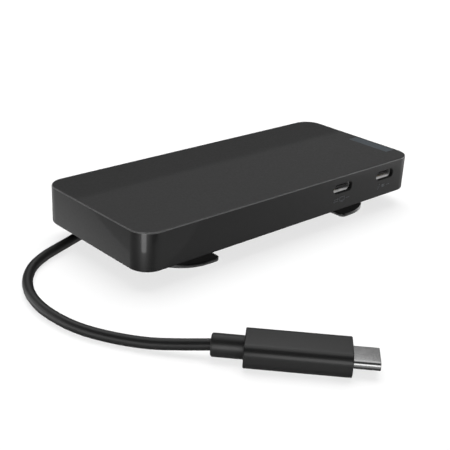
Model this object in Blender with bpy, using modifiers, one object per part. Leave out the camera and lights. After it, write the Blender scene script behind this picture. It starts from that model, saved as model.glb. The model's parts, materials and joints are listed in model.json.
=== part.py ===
"""A slim laptop docking station with a captive USB-C cord.

A shallow box housing stands on a low cord winder: a spool under the bottom cover, with an
H-shaped base plate below it, so that the cord can be wound round in the channel between them.

Metres, +Z up.  The origin is on the surface that the dock stands on, under the middle of
the housing.  -Y is the long face with the two USB-C ports, +Y the long face with the video
and USB-A ports, +X the end with the network port, and the cord leaves at the -X end.
"""

import math

import bmesh
import bpy
from mathutils import Matrix, Vector

MM = 0.001
GAP = 0.3 * MM                      # between neighbouring pieces

# Housing
BODY_LENGTH = 118 * MM
BODY_WIDTH = 50 * MM
BODY_HEIGHT = 12.1 * MM
BODY_CORNER = 6.2 * MM
BODY_EDGE = 0.35 * MM               # fillet round the top
BODY_FOOT_EDGE = 0.5 * MM           # chamfer round the bottom
WALL = 1.5 * MM
ROOF = 1.4 * MM
FLOOR_PLATE = 1.2 * MM
BOSS_X = 52.3 * MM
BOSS_Y = 18.3 * MM
BOSS_RADIUS = 2.4 * MM

# Base, from the standing surface upwards
PAD_DROP = 0.5 * MM                 # rubber below the base plate
PLATE_THICKNESS = 1.2 * MM
CHANNEL_HEIGHT = 3.9 * MM
PLATE_LENGTH = 93 * MM
PLATE_WIDTH = 44.2 * MM
PLATE_CORNER = 14.5 * MM
NOTCH_LENGTH = 55.2 * MM
NOTCH_TIP = 1.6 * MM
NOTCH_ROOT = 2.5 * MM
SPOOL_LENGTH = 76 * MM
SPOOL_WIDTH = 29 * MM
SPOOL_WALL = 1.6 * MM
PAD_LENGTH = 32 * MM
PAD_WIDTH = 11 * MM
PAD_THICKNESS = 0.8 * MM
PAD_X = 36.5 * MM
BASE_SCREW_X = 21 * MM
BASE_SCREW_Y = 9.5 * MM
BASE_COUNTERBORE = 0.8 * MM

PLATE_BOTTOM = PAD_DROP
PLATE_TOP = PLATE_BOTTOM + PLATE_THICKNESS
BODY_BOTTOM = PLATE_TOP + CHANNEL_HEIGHT
BODY_TOP = BODY_BOTTOM + BODY_HEIGHT
FLOOR_TOP = BODY_BOTTOM + FLOOR_PLATE
ROOF_UNDERSIDE = BODY_TOP - ROOF

# Screws
SHANK_RADIUS = 0.9 * MM
HEAD_RADIUS = 1.8 * MM
HOLE_RADIUS = SHANK_RADIUS + GAP
HEAD_HOLE_RADIUS = HEAD_RADIUS + GAP
HEAD_HEIGHT = 0.6 * MM
SOCKET_RADIUS = 0.75 * MM
SOCKET_DEPTH = 0.35 * MM

# Circuit board
BOARD_LENGTH = 113.6 * MM
BOARD_WIDTH = 45.6 * MM
BOARD_THICKNESS = 1.0 * MM
BOARD_TOP = BODY_BOTTOM + 5.9 * MM
BOARD_BOTTOM = BOARD_TOP - BOARD_THICKNESS
STANDOFF_RADIUS = 2.2 * MM
STANDOFFS = ((-50 * MM, 9 * MM), (-50 * MM, -12 * MM), (18.5 * MM, 3.5 * MM), (33.6 * MM, -18.5 * MM))

# Ports: where each mouth is, and its outer shell's size
USB_C_X = (22.8 * MM, 44.4 * MM)
USB_C_Z = BODY_BOTTOM + 7.75 * MM
USB_C_SIZE = (8.94 * MM, 3.16 * MM, 7.3 * MM)
USB_C_WINDOW = (9.0 * MM, 3.0 * MM)
USB_C_LIP = 1.0 * MM                # housing wall left in front of a USB-C receptacle
REAR_PORT_Z = BODY_BOTTOM + 6.2 * MM
HDMI_X = (-36 * MM, -15 * MM)
HDMI_SIZE = (15.0 * MM, 5.5 * MM, 11.5 * MM)
USB_A_X = (8 * MM, 30 * MM)
USB_A_SIZE = (13.14 * MM, 5.72 * MM, 13.5 * MM)
LAN_Z = BODY_BOTTOM + 6.1 * MM
LAN_SIZE = (13.6 * MM, 8.6 * MM, 15.0 * MM)
LAN_OPENING = (11.9 * MM, 6.75 * MM)
LAN_LATCH = (6.2 * MM, 1.1 * MM)
SHEET = 0.3 * MM                    # metal of the port shells

# Cord and plug
CORD_RADIUS = 1.5 * MM
CORD_POINT_SPACING = 2 * CORD_RADIUS
CORD_CHANNEL_Y = 18.0 * MM
CORD_CHANNEL_Z = PLATE_TOP + CHANNEL_HEIGHT / 2
BOOT_X = (-6.0 * MM, 8.0 * MM)
LEAD_LENGTH = 7.5 * MM
PLUG_HEADING = math.radians(-47.25)
PLUG_REAR = (-64.4 * MM, -60.0 * MM)    # where the cord enters the strain relief
RELIEF_LENGTH = 7.6 * MM
RELIEF_RADIUS = 2.95 * MM
HANDLE_LENGTH = 26.1 * MM
HANDLE_WIDTH = 12.2 * MM
HANDLE_HEIGHT = 6.5 * MM
PLUG_AXIS_Z = HANDLE_HEIGHT / 2
HANDLE_CORNER = 2.6 * MM
PLUG_SHELL = (8.25 * MM, 2.4 * MM, 6.35 * MM)

# The cord's route, along its axis from the boot to the strain relief
CORD_ROUTE = [Vector(point) * MM for point in (
    (-6.3, 18.0, 3.65), (-16.0, 18.0, 3.55), (-27.0, 18.0, 3.4), (-37.0, 17.6, 3.35),
    (-45.0, 16.2, 3.2), (-52.5, 14.1, 2.75), (-59.0, 12.2, 2.3), (-64.0, 10.9, 1.9),
    (-69.4, 9.0, 1.65), (-75.5, 5.1, 1.55), (-80.8, -1.2, 1.55), (-84.3, -8.8, 1.55),
    (-85.8, -17.0, 1.55), (-85.4, -25.2, 1.55), (-84.0, -31.6, 1.55), (-81.6, -37.4, 1.58),
    (-78.3, -43.3, 1.68), (-74.5, -49.0, 2.0), (-69.8, -54.4, 2.6), (-64.6, -59.78, 3.25))]

PARTS_NAME = "laptop_docking_station"
CUTTERS_NAME = "cutters"
ARC_STEPS = 4                       # segments in a small rounded corner
WIDE_ARC_STEPS = 8                  # segments in a large one
TURN_STEPS = 16                     # sides of a round piece
SCREW_STEPS = 10                    # sides of a screw


# --- Scene and materials ----------------------------------------------------------------

def start_scene():
    """Empty the scene, and make the collections for the parts and the cutters."""
    for old in list(bpy.data.objects):
        bpy.data.objects.remove(old, do_unlink=True)
    for name in (PARTS_NAME, CUTTERS_NAME):
        bpy.context.scene.collection.children.link(bpy.data.collections.new(name))


def material(name, colour, roughness, metallic=0.0):
    """A Principled material of one colour."""
    made = bpy.data.materials.new(name)
    made.use_nodes = True
    shader = made.node_tree.nodes["Principled BSDF"]
    shader.inputs["Base Color"].default_value = (*colour, 1.0)
    shader.inputs["Roughness"].default_value = roughness
    shader.inputs["Metallic"].default_value = metallic
    return made


# --- Shapes -----------------------------------------------------------------------------

def add_object(name, mesh, parent=None, cutter=False):
    """Put a mesh in the scene as a part, or as a cutter that only shapes other pieces."""
    obj = bpy.data.objects.new(name, mesh)
    bpy.data.collections[CUTTERS_NAME if cutter else PARTS_NAME].objects.link(obj)
    obj.parent = parent
    if cutter:
        obj.hide_render = True
        obj.display_type = "WIRE"
    return obj


def mount_point(name, location, matrix=None):
    """An empty that carries the pieces of one port or plug."""
    empty = bpy.data.objects.new(name, None)
    bpy.data.collections[CUTTERS_NAME].objects.link(empty)
    empty.matrix_world = Matrix.Translation(location) @ (matrix or Matrix.Identity(4))
    return empty


def mesh_from(bm, name):
    """Turn a bmesh into a closed mesh with its faces pointing out."""
    bmesh.ops.remove_doubles(bm, verts=bm.verts, dist=1e-6)
    bmesh.ops.recalc_face_normals(bm, faces=bm.faces)
    mesh = bpy.data.meshes.new(name)
    bm.to_mesh(mesh)
    bm.free()
    mesh.shade_smooth()
    mesh.set_sharp_from_angle(angle=math.radians(35))
    return mesh


def rounded_outline(corners, steps=ARC_STEPS):
    """Points round a polygon, given as (x, y, radius) corners in order, with each corner filleted."""
    points = []
    for index, (x, y, radius) in enumerate(corners):
        corner = Vector((x, y))
        if radius == 0:
            points.append(corner)
            continue
        back = (Vector(corners[index - 1][:2]) - corner).normalized()
        ahead = (Vector(corners[(index + 1) % len(corners)][:2]) - corner).normalized()
        half = back.angle(ahead) / 2
        centre = corner + (back + ahead).normalized() * radius / math.sin(half)
        first = corner + back * radius / math.tan(half) - centre
        last = corner + ahead * radius / math.tan(half) - centre
        start = math.atan2(first.y, first.x)
        sweep = math.remainder(math.atan2(last.y, last.x) - start, math.tau)
        for step in range(steps + 1):
            turn = start + sweep * step / steps
            points.append(centre + radius * Vector((math.cos(turn), math.sin(turn))))
    return points


def rectangle(width, height, radius=0.0, centre=(0.0, 0.0)):
    """The corners of a rectangle, anticlockwise, for rounded_outline."""
    return [(centre[0] + sx * width / 2, centre[1] + sy * height / 2, radius)
            for sx, sy in ((-1, -1), (1, -1), (1, 1), (-1, 1))]


def slab(name, corners, low, high, parent=None, cutter=False, steps=ARC_STEPS):
    """A flat rounded outline in XY, thickened from z = low to z = high."""
    curve = bpy.data.curves.new(name, "CURVE")
    curve.dimensions = "2D"
    curve.fill_mode = "BOTH"
    curve.extrude = (high - low) / 2
    outline = rounded_outline(corners, steps)
    spline = curve.splines.new("POLY")
    spline.points.add(len(outline) - 1)
    for point, place in zip(spline.points, outline):
        point.co = (place.x, place.y, 0.0, 1.0)
    spline.use_cyclic_u = True
    shaper = bpy.data.objects.new(name + "_outline", curve)
    bpy.context.scene.collection.objects.link(shaper)
    bpy.context.view_layer.update()
    raw = bpy.data.meshes.new_from_object(shaper.evaluated_get(bpy.context.evaluated_depsgraph_get()))
    bpy.data.objects.remove(shaper)
    bm = bmesh.new()
    bm.from_mesh(raw)
    bpy.data.meshes.remove(raw)
    bmesh.ops.translate(bm, verts=bm.verts, vec=(0, 0, (low + high) / 2))
    return add_object(name, mesh_from(bm, name), parent, cutter)


def drum(name, radius, low, high, centre=(0.0, 0.0), parent=None, cutter=False, end_radius=None):
    """An upright cylinder or cone from z = low to z = high."""
    bm = bmesh.new()
    top_radius = radius if end_radius is None else end_radius
    bmesh.ops.create_cone(bm, cap_ends=True, segments=TURN_STEPS, radius1=radius, radius2=top_radius,
                          depth=high - low, matrix=Matrix.Rotation(math.pi / TURN_STEPS, 4, "Z"))
    bmesh.ops.translate(bm, verts=bm.verts, vec=(*centre, (low + high) / 2))
    return add_object(name, mesh_from(bm, name), parent, cutter)


def merged_cutter(name, pieces):
    """One cutter out of several that don't touch."""
    bm = bmesh.new()
    for piece in pieces:
        copy = piece.data.copy()
        copy.transform(piece.matrix_basis)
        bm.from_mesh(copy)
        bpy.data.meshes.remove(copy)
        bpy.data.objects.remove(piece)
    return add_object(name, mesh_from(bm, name), cutter=True)


def combine(obj, tool, operation="DIFFERENCE"):
    """Cut obj with tool, or join the tool's solid to it."""
    modifier = obj.modifiers.new(operation.lower(), "BOOLEAN")
    modifier.operation = operation
    modifier.solver = "EXACT"
    modifier.object = tool
    return obj


def bevel(obj, width, segments, angle=40):
    """Round off an object's sharp edges."""
    modifier = obj.modifiers.new("edges", "BEVEL")
    modifier.width = width
    modifier.segments = segments
    modifier.limit_method = "ANGLE"
    modifier.angle_limit = math.radians(angle)


def finish(obj, look):
    """Give a part its material."""
    obj.data.materials.append(look)
    return obj


# --- Port frames ------------------------------------------------------------------------
# A port is modelled with its mouth at z = 0, facing local +Z, and local +Y pointing up.

def facing(direction, location):
    """The placing of a port whose mouth faces a horizontal direction."""
    out = Vector(direction)
    up = Vector((0, 0, 1))
    rotation = Matrix((up.cross(out), up, out)).transposed().to_4x4()
    return location, rotation


def front_frames():
    """The mouths of the two USB-C ports."""
    return [facing((0, -1, 0), (x, -BODY_WIDTH / 2, USB_C_Z)) for x in USB_C_X]


def rear_frames(positions):
    """The mouths of ports in the +Y face."""
    return [facing((0, 1, 0), (x, BODY_WIDTH / 2, REAR_PORT_Z)) for x in positions]


def lan_frame():
    """The mouth of the network port in the +X end."""
    return facing((1, 0, 0), (BODY_LENGTH / 2, 0, LAN_Z))


def hdmi_outline(width, height, grow=0.0):
    """An HDMI shell's outline: a rectangle with its two lower corners cut off at a slant."""
    half_width = width / 2 + grow
    half_height = height / 2 + grow
    slant = 1.4 * MM
    return [(-half_width + slant, -half_height, 0.4 * MM), (half_width - slant, -half_height, 0.4 * MM),
            (half_width, -half_height + slant, 0.4 * MM), (half_width, half_height, 0.4 * MM),
            (-half_width, half_height, 0.4 * MM), (-half_width, -half_height + slant, 0.4 * MM)]


# --- Housing ----------------------------------------------------------------------------

def housing_windows():
    """Cutters for every port's window in the top cover."""
    through = 6 * MM
    cutters = []
    for number, (place, turn) in enumerate(front_frames(), 1):
        frame = mount_point(f"usb_c_window_{number}_frame", place, turn)
        width, height = USB_C_WINDOW
        cutters.append(slab(f"usb_c_window_{number}", rectangle(width, height, height * 0.499),
                            -through, MM, frame, True))
        pocket = rectangle(USB_C_SIZE[0] + 2 * GAP, USB_C_SIZE[1] + 2 * GAP, USB_C_SIZE[1] / 2)
        cutters.append(slab(f"usb_c_pocket_{number}", pocket, -through, -USB_C_LIP, frame, True))
    for number, (place, turn) in enumerate(rear_frames(HDMI_X), 1):
        frame = mount_point(f"hdmi_window_{number}_frame", place, turn)
        outline = hdmi_outline(HDMI_SIZE[0], HDMI_SIZE[1], GAP)
        cutters.append(slab(f"hdmi_window_{number}", outline, -through, MM, frame, True))
    for number, (place, turn) in enumerate(rear_frames(USB_A_X), 1):
        frame = mount_point(f"usb_a_window_{number}_frame", place, turn)
        outline = rectangle(USB_A_SIZE[0] + 2 * GAP, USB_A_SIZE[1] + 2 * GAP, 0.5 * MM)
        cutters.append(slab(f"usb_a_window_{number}", outline, -through, MM, frame, True))
    frame = mount_point("lan_window_frame", *lan_frame())
    outline = rectangle(LAN_SIZE[0] + 2 * GAP, LAN_SIZE[1] + 2 * GAP, 0.5 * MM)
    cutters.append(slab("lan_window", outline, -through, MM, frame, True))
    return cutters


def make_top_cover(look):
    """The housing's roof and walls in one moulding, with screw bosses and port windows."""
    cover = slab("top_cover", rectangle(BODY_LENGTH, BODY_WIDTH, BODY_CORNER), BODY_BOTTOM, BODY_TOP,
                 steps=WIDE_ARC_STEPS)
    bm = bmesh.new()
    bm.from_mesh(cover.data)
    for level, width, segments in ((BODY_TOP, BODY_EDGE, 2), (BODY_BOTTOM, BODY_FOOT_EDGE, 1)):
        rim = [edge for edge in bm.edges
               if all(abs(vertex.co.z - level) < 1e-6 for vertex in edge.verts)
               and edge.calc_face_angle(0) > 1]
        bmesh.ops.bevel(bm, geom=rim, offset=width, segments=segments, profile=0.5, affect="EDGES")
    bm.to_mesh(cover.data)
    bm.free()
    cavity = rectangle(BODY_LENGTH - 2 * WALL, BODY_WIDTH - 2 * WALL, BODY_CORNER - WALL)
    combine(cover, slab("cavity", cavity, BODY_BOTTOM - MM, ROOF_UNDERSIDE, cutter=True,
                        steps=WIDE_ARC_STEPS))
    boss_bottom = FLOOR_TOP + 1.3 * MM
    for number, (x, y) in enumerate(boss_places(), 1):
        boss = drum(f"boss_{number}", BOSS_RADIUS, boss_bottom, ROOF_UNDERSIDE + 0.4 * MM, (x, y),
                    cutter=True)
        combine(cover, boss, "UNION")
    for number, (x, y) in enumerate(boss_places(), 1):
        combine(cover, drum(f"boss_hole_{number}", HOLE_RADIUS, boss_bottom - MM,
                            ROOF_UNDERSIDE - 1.5 * MM, (x, y), cutter=True))
    for cutter in housing_windows():
        combine(cover, cutter)
    combine(cover, slab("badge_recess", badge_outline(GAP), BODY_TOP - 0.6 * MM, BODY_TOP + MM, cutter=True))
    return finish(cover, look)


def boss_places():
    """The four corner screw places."""
    return [(sx * BOSS_X, sy * BOSS_Y) for sx in (-1, 1) for sy in (-1, 1)]


def badge_outline(grow=0.0):
    """The blank name plate's outline, along the +X edge of the roof."""
    return rectangle(4.4 * MM + 2 * grow, 17.2 * MM + 2 * grow, 0.4 * MM, (55.7 * MM, -9.0 * MM))


def make_badge(look):
    """The blank plate let into the roof."""
    return finish(slab("name_plate", badge_outline(), BODY_TOP - 0.3 * MM, BODY_TOP), look)


def make_bottom_cover(look):
    """The plate that closes the housing, with board standoffs and screw bosses."""
    outline = rectangle(BODY_LENGTH - 2 * (WALL + GAP), BODY_WIDTH - 2 * (WALL + GAP),
                        BODY_CORNER - WALL - GAP)
    cover = slab("bottom_cover", outline, BODY_BOTTOM, FLOOR_TOP)
    into_plate = FLOOR_TOP - 0.5 * MM
    for number, (x, y) in enumerate(STANDOFFS, 1):
        combine(cover, drum(f"standoff_{number}", STANDOFF_RADIUS, into_plate, BOARD_BOTTOM - GAP,
                            (x, y), cutter=True), "UNION")
        combine(cover, drum(f"standoff_hole_{number}", HOLE_RADIUS, FLOOR_TOP, BOARD_TOP, (x, y),
                            cutter=True))
    for number, (x, y) in enumerate(boss_places(), 1):
        combine(cover, drum(f"corner_pad_{number}", 2.9 * MM, into_plate, FLOOR_TOP + MM, (x, y),
                            cutter=True), "UNION")
        combine(cover, drum(f"corner_counterbore_{number}", HEAD_HOLE_RADIUS, BODY_BOTTOM - MM,
                            FLOOR_TOP, (x, y), cutter=True))
        combine(cover, drum(f"corner_hole_{number}", HOLE_RADIUS, BODY_BOTTOM, BOARD_BOTTOM, (x, y),
                            cutter=True))
    for number, (x, y) in enumerate(base_screw_places(), 1):
        combine(cover, drum(f"base_boss_{number}", 2.2 * MM, into_plate, FLOOR_TOP + 1.8 * MM, (x, y),
                            cutter=True), "UNION")
        combine(cover, drum(f"base_boss_hole_{number}", HOLE_RADIUS, BODY_BOTTOM - MM, BOARD_BOTTOM,
                            (x, y), cutter=True))
    combine(cover, slab("cord_entry", anchor_outline(GAP), BODY_BOTTOM - MM, FLOOR_TOP + MM, cutter=True))
    return finish(cover, look)


# --- Base -------------------------------------------------------------------------------

def base_screw_places():
    """The four screws that hold the base plate and the spool under the housing."""
    return [(sx * BASE_SCREW_X, sy * BASE_SCREW_Y) for sx in (-1, 1) for sy in (-1, 1)]


def make_cord_spool(look):
    """The shallow tray that the cord winds round, open towards the housing."""
    low = PLATE_TOP + GAP
    high = BODY_BOTTOM - GAP
    spool = slab("cord_spool", rectangle(SPOOL_LENGTH, SPOOL_WIDTH, SPOOL_WIDTH * 0.499), low, high,
                 steps=WIDE_ARC_STEPS)
    pocket = rectangle(SPOOL_LENGTH - 2 * SPOOL_WALL, SPOOL_WIDTH - 2 * SPOOL_WALL,
                       (SPOOL_WIDTH - 2 * SPOOL_WALL) * 0.499)
    combine(spool, slab("spool_pocket", pocket, low + 1.0 * MM, high + MM, cutter=True,
                        steps=WIDE_ARC_STEPS))
    for number, (x, y) in enumerate(base_screw_places(), 1):
        combine(spool, drum(f"spool_boss_{number}", 2.6 * MM, low + 0.5 * MM, high - 0.1 * MM, (x, y),
                            cutter=True), "UNION")
        combine(spool, drum(f"spool_hole_{number}", HOLE_RADIUS, low - MM, high + MM, (x, y),
                            cutter=True))
    return finish(spool, look)


def plate_outline():
    """The base plate: a well rounded rectangle with a finger notch in each long side."""
    half_length = PLATE_LENGTH / 2
    half_width = PLATE_WIDTH / 2
    half_notch = NOTCH_LENGTH / 2
    root = SPOOL_WIDTH / 2
    right_half = [(half_notch, -root, NOTCH_ROOT), (half_notch, -half_width, NOTCH_TIP),
                  (half_length, -half_width, PLATE_CORNER), (half_length, half_width, PLATE_CORNER),
                  (half_notch, half_width, NOTCH_TIP), (half_notch, root, NOTCH_ROOT)]
    return right_half + [(-x, -y, radius) for x, y, radius in right_half]


def make_base_plate(look):
    """The H-shaped flange below the spool, with recesses for its rubber pads."""
    plate = slab("base_plate", plate_outline(), PLATE_BOTTOM, PLATE_TOP, steps=WIDE_ARC_STEPS)
    for side, name in ((-1, "left"), (1, "right")):
        outline = rectangle(PAD_WIDTH + 2 * GAP, PAD_LENGTH + 2 * GAP, PAD_WIDTH * 0.45,
                            (side * PAD_X, 0.0))
        combine(plate, slab(f"{name}_pad_recess", outline, 0.0, PAD_THICKNESS + GAP, cutter=True))
    for number, (x, y) in enumerate(base_screw_places(), 1):
        combine(plate, drum(f"plate_counterbore_{number}", HEAD_HOLE_RADIUS, 0.0,
                            PLATE_BOTTOM + BASE_COUNTERBORE, (x, y), cutter=True))
        combine(plate, drum(f"plate_hole_{number}", HOLE_RADIUS, PLATE_BOTTOM, PLATE_TOP + MM, (x, y),
                            cutter=True))
    return finish(plate, look)


def make_foot_pads(look):
    """The two rubber pads that the dock stands on."""
    for side, name in ((-1, "left"), (1, "right")):
        outline = rectangle(PAD_WIDTH, PAD_LENGTH, PAD_WIDTH * 0.45, (side * PAD_X, 0.0))
        finish(slab(f"foot_pad_{name}", outline, 0.0, PAD_THICKNESS), look)


def screw(name, place, head_low, head_high, shank_end):
    """A screw seen from its head: a disc, a smaller socket in it, and a plain shank."""
    up = shank_end > head_low
    shank_low, shank_high = (head_high, shank_end) if up else (shank_end, head_low)
    profile = [(HEAD_RADIUS, head_low), (HEAD_RADIUS, head_high)]
    bm = bmesh.new()
    if up:
        rings = [(0.0, head_low + SOCKET_DEPTH), (SOCKET_RADIUS, head_low + SOCKET_DEPTH),
                 (SOCKET_RADIUS, head_low), *profile, (SHANK_RADIUS, shank_low),
                 (SHANK_RADIUS, shank_high - SHANK_RADIUS), (0.0, shank_high)]
    else:
        rings = [(0.0, shank_low), (SHANK_RADIUS, shank_low + SHANK_RADIUS),
                 (SHANK_RADIUS, shank_high), *profile, (SOCKET_RADIUS, head_high),
                 (SOCKET_RADIUS, head_high - SOCKET_DEPTH), (0.0, head_high - SOCKET_DEPTH)]
    line = [bm.verts.new((radius, 0.0, height)) for radius, height in rings]
    edges = [bm.edges.new(pair) for pair in zip(line, line[1:])]
    bmesh.ops.spin(bm, geom=line + edges, cent=(0, 0, 0), axis=(0, 0, 1), angle=math.tau,
                   steps=SCREW_STEPS, use_duplicate=False)
    bmesh.ops.translate(bm, verts=bm.verts, vec=(*place, 0.0))
    return add_object(name, mesh_from(bm, name))


def make_screws(look):
    """The cover, base and board screws."""
    cover_head = FLOOR_TOP - GAP - HEAD_HEIGHT
    base_head = PLATE_BOTTOM + BASE_COUNTERBORE - GAP - HEAD_HEIGHT
    board_head = BOARD_TOP + GAP
    sets = (("cover_screw", boss_places(), cover_head, ROOF_UNDERSIDE - 2.2 * MM),
            ("base_screw", base_screw_places(), base_head, FLOOR_TOP + 1.5 * MM),
            ("board_screw", STANDOFFS, board_head, FLOOR_TOP + GAP))
    for name, places, head, shank_end in sets:
        for number, place in enumerate(places, 1):
            finish(screw(f"{name}_{number}", place, head, head + HEAD_HEIGHT, shank_end), look)


# --- Electronics ------------------------------------------------------------------------

def make_main_board(look):
    """The circuit board, notched round the bosses and the connectors that sit in it."""
    board = slab("main_board", rectangle(BOARD_LENGTH, BOARD_WIDTH, 4 * MM), BOARD_BOTTOM, BOARD_TOP)
    above = (BOARD_BOTTOM - MM, BOARD_TOP + MM)
    edge_y = BODY_WIDTH / 2
    for size, positions, name in ((HDMI_SIZE, HDMI_X, "hdmi"), (USB_A_SIZE, USB_A_X, "usb_a")):
        for number, x in enumerate(positions, 1):
            depth = size[2] + 2 * GAP
            outline = rectangle(size[0] + 2 * GAP, depth, 0.3 * MM, (x, edge_y - depth / 2))
            combine(board, slab(f"{name}_notch_{number}", outline, *above, cutter=True))
    depth = LAN_SIZE[2] + 2 * GAP
    outline = rectangle(depth, LAN_SIZE[0] + 2 * GAP, 0.3 * MM, (BODY_LENGTH / 2 - depth / 2, 0.0))
    combine(board, slab("lan_notch", outline, *above, cutter=True))
    for number, place in enumerate(boss_places(), 1):
        combine(board, drum(f"boss_notch_{number}", BOSS_RADIUS + 2 * GAP, *above, place, cutter=True))
    for number, place in enumerate(STANDOFFS, 1):
        combine(board, drum(f"board_hole_{number}", HOLE_RADIUS, *above, place, cutter=True))
    return finish(board, look)


def port_shell(name, frame, outer, inner, depth, look, mouth=0.0):
    """A thin metal receptacle shell, open at its mouth and closed at its back."""
    shell = slab(name, outer, mouth - depth, mouth, frame)
    combine(shell, slab(name + "_bore", inner, mouth - depth + SHEET, mouth + MM, frame, True))
    return finish(shell, look)


def make_usb_c_ports(metal, plastic):
    """The two USB-C receptacles behind the front face."""
    width, height, depth = USB_C_SIZE
    mouth = -(USB_C_LIP + GAP)
    for number, (place, turn) in enumerate(front_frames(), 1):
        frame = mount_point(f"usb_c_{number}", place, turn)
        port_shell(f"usb_c_shell_{number}", frame, rectangle(width, height, height * 0.499),
                   rectangle(width - 2 * SHEET, height - 2 * SHEET, (height - 2 * SHEET) * 0.499),
                   depth, metal, mouth)
        tongue = slab(f"usb_c_tongue_{number}", rectangle(6.69 * MM, 0.7 * MM, 0.15 * MM),
                      mouth - depth + SHEET + GAP, mouth - GAP, frame, steps=2)
        finish(tongue, plastic)


def make_hdmi_ports(metal, plastic):
    """The two video receptacles."""
    width, height, depth = HDMI_SIZE
    for number, (place, turn) in enumerate(rear_frames(HDMI_X), 1):
        frame = mount_point(f"hdmi_{number}", place, turn)
        port_shell(f"hdmi_shell_{number}", frame, hdmi_outline(width, height),
                   hdmi_outline(width, height, -SHEET), depth, metal, -GAP)
        tongue = slab(f"hdmi_tongue_{number}",
                      rectangle(11.2 * MM, 1.3 * MM, 0.2 * MM, (0.0, 0.2 * MM)),
                      -depth + SHEET, -1.6 * MM, frame, steps=2)
        finish(tongue, plastic)


def make_usb_a_ports(metal, plastic):
    """The two USB-A receptacles."""
    width, height, depth = USB_A_SIZE
    for number, (place, turn) in enumerate(rear_frames(USB_A_X), 1):
        frame = mount_point(f"usb_a_{number}", place, turn)
        port_shell(f"usb_a_shell_{number}", frame, rectangle(width, height, 0.5 * MM),
                   rectangle(width - 2 * SHEET, height - 2 * SHEET, 0.3 * MM), depth, metal, -GAP)
        tongue_height = 1.84 * MM
        centre_y = height / 2 - SHEET - GAP - tongue_height / 2
        tongue = slab(f"usb_a_tongue_{number}",
                      rectangle(11.1 * MM, tongue_height, 0.2 * MM, (0.0, centre_y)),
                      -depth + SHEET, -1.4 * MM, frame, steps=2)
        finish(tongue, plastic)


def make_lan_port(metal, plastic):
    """The network jack: a metal shell, and the comb that holds its contacts."""
    width, height, depth = LAN_SIZE
    frame = mount_point("lan_port", *lan_frame())
    top = height / 2 - 0.35 * MM
    latch_width, latch_height = LAN_LATCH
    opening_width, opening_height = LAN_OPENING
    opening = rectangle(opening_width, opening_height, 0.3 * MM, (0.0, top - opening_height / 2))
    shell = port_shell("lan_shell", frame, rectangle(width, height, 0.4 * MM), opening, depth, metal, -GAP)
    latch = rectangle(latch_width, 2 * latch_height, 0.0, (0.0, top - opening_height))
    combine(shell, slab("lan_latch_slot", latch, SHEET - depth, MM, frame, True))
    comb_height = opening_height - 2 * GAP
    comb = slab("lan_contact_comb",
                rectangle(opening_width - 2 * GAP, comb_height, 0.3 * MM, (0.0, top - GAP - comb_height / 2)),
                -depth + SHEET, -depth + 3.6 * MM, frame)
    return finish(comb, plastic)


def make_components(looks):
    """The parts soldered to the board, the shield over them and the heat path above it."""
    seat = BOARD_TOP + GAP
    chips = (("video_chip", -24, 0, 11, 11, 1.2), ("hub_chip", -6, -1, 9, 9, 1.2),
             ("power_chip", 21, -8, 5, 5, 0.9), ("lan_chip", 27.5, 1.5, 7, 7, 1.0))
    for name, x, y, width, length, height in chips:
        chip = slab(name, rectangle(width * MM, length * MM, 0.0, (x * MM, y * MM)), seat,
                    seat + height * MM)
        bevel(chip, 0.15 * MM, 1)
        finish(chip, looks["chip"])
    transformer = slab("lan_transformer", rectangle(6.6 * MM, 12.7 * MM, 0.2 * MM, (38.4 * MM, 0.0)),
                       seat, seat + 3.6 * MM)
    finish(transformer, looks["black_plastic"])
    small = (("power_inductor", 5, 5, 2.8, ((12.5, -18), (33.6, -10.5)), "ferrite"),
             ("bulk_capacitor", 3.5, 2.8, 1.9, ((5, -17), (-44, -18)), "capacitor"),
             ("clock_crystal", 3.2, 2.5, 0.8, ((10, 2),), "steel"))
    for name, width, length, height, places, look in small:
        for number, (x, y) in enumerate(places, 1):
            outline = rectangle(width * MM, length * MM, 0.3 * MM, (x * MM, y * MM))
            piece = slab(f"{name}_{number}", outline, seat, seat + height * MM, steps=2)
            finish(piece, looks[look])
    make_shield(looks["steel"], seat)
    pad = slab("thermal_pad", rectangle(30 * MM, 11 * MM, 0.3 * MM, (-15 * MM, -0.5 * MM)), seat + 2.5 * MM,
               seat + 3.2 * MM)
    finish(pad, looks["thermal"])
    spreader = slab("heat_spreader", rectangle(62 * MM, 24 * MM, 1.5 * MM, (-14 * MM, -1 * MM)),
                    seat + 3.5 * MM, ROOF_UNDERSIDE - GAP)
    finish(spreader, looks["aluminium"])


def make_shield(look, seat):
    """The pressed can over the video and hub chips, with a row of vents in its roof."""
    can = slab("shield_can", rectangle(37 * MM, 15 * MM, 0.8 * MM, (-15.2 * MM, -0.5 * MM)), seat,
               seat + 2.2 * MM)
    inside = rectangle(36.4 * MM, 14.4 * MM, 0.5 * MM, (-15.2 * MM, -0.5 * MM))
    combine(can, slab("shield_inside", inside, seat - MM, seat + 1.9 * MM, cutter=True))
    vents = [slab("vent", rectangle(1.6 * MM, 0.8 * MM, 0.0, ((-31 + 4 * step) * MM, 5.9 * MM)), seat,
                  seat + 4 * MM, cutter=True) for step in range(9)]
    combine(can, merged_cutter("shield_vents", vents))
    return finish(can, look)


# --- Cord and plug ----------------------------------------------------------------------

def anchor_outline(grow=0.0):
    """The block of the boot that goes up through the bottom cover."""
    return rectangle(6 * MM + 2 * grow, 5 * MM + 2 * grow, MM, (BOOT_X[1] + 2.6 * MM, CORD_CHANNEL_Y))


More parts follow.
